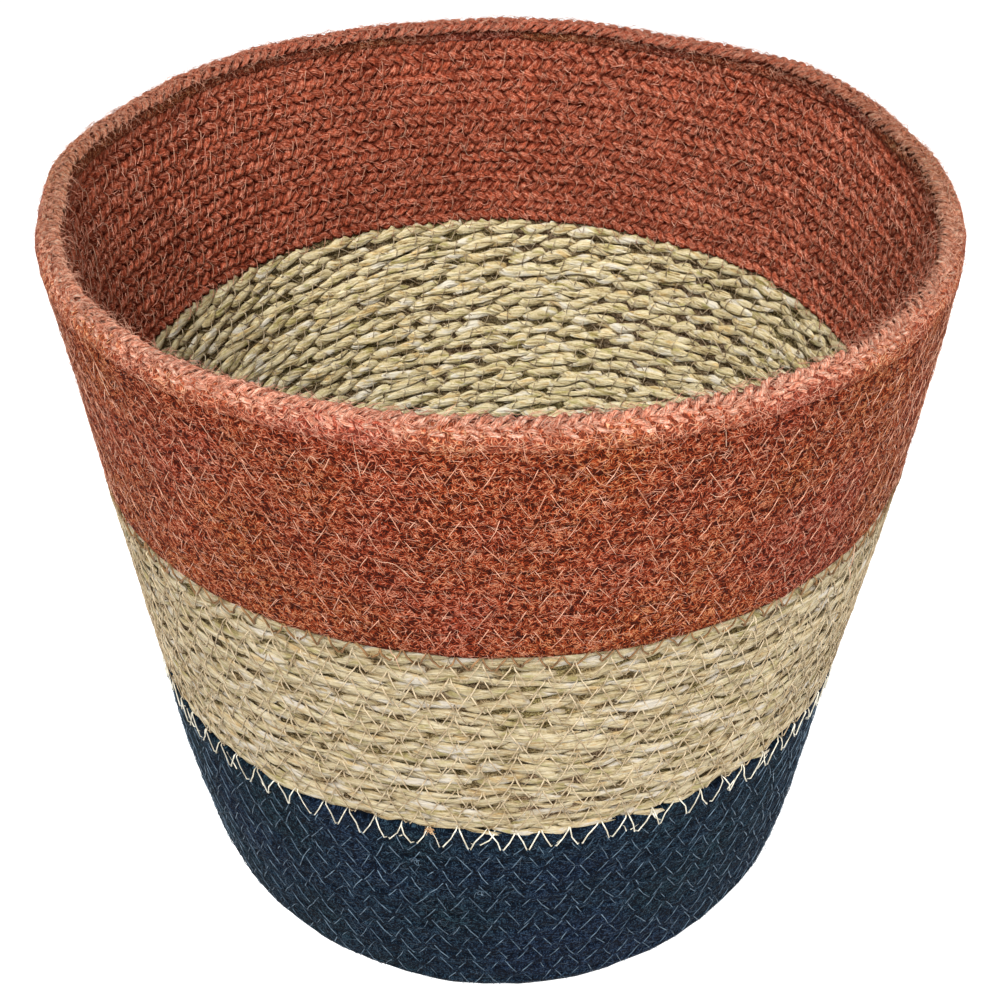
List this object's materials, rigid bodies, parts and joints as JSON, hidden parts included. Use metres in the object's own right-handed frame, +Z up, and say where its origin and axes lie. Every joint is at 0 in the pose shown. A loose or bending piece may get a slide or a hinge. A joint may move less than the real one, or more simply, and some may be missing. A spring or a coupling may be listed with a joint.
{
  "type": "coiled storage basket",
  "caption": "Round open basket that widens to its rim, wound as a climbing spiral of jute plait and twisted seagrass in bands of colour, for storage or as a plant pot cover.",
  "frame": {"origin": "on the floor under the centre of the basket", "axes": "+Z up out of the open mouth, +X towards the side where the cords meet and the rim's cord ends"},
  "size_m": [0.2475, 0.2478, 0.2312],
  "materials": {
    "navy_jute_base": "matt, fibrous",
    "navy_jute": "matt, fibrous",
    "seagrass": "dry leaf with a faint sheen",
    "terracotta_jute": "matt, fibrous"
  },
  "bodies": {
    "root": {"base_cord": "navy_jute_base", "navy_wall_cord": "navy_jute", "seagrass_cord": "seagrass", "terracotta_cord": "terracotta_jute"}
  },
  "joints": []
}
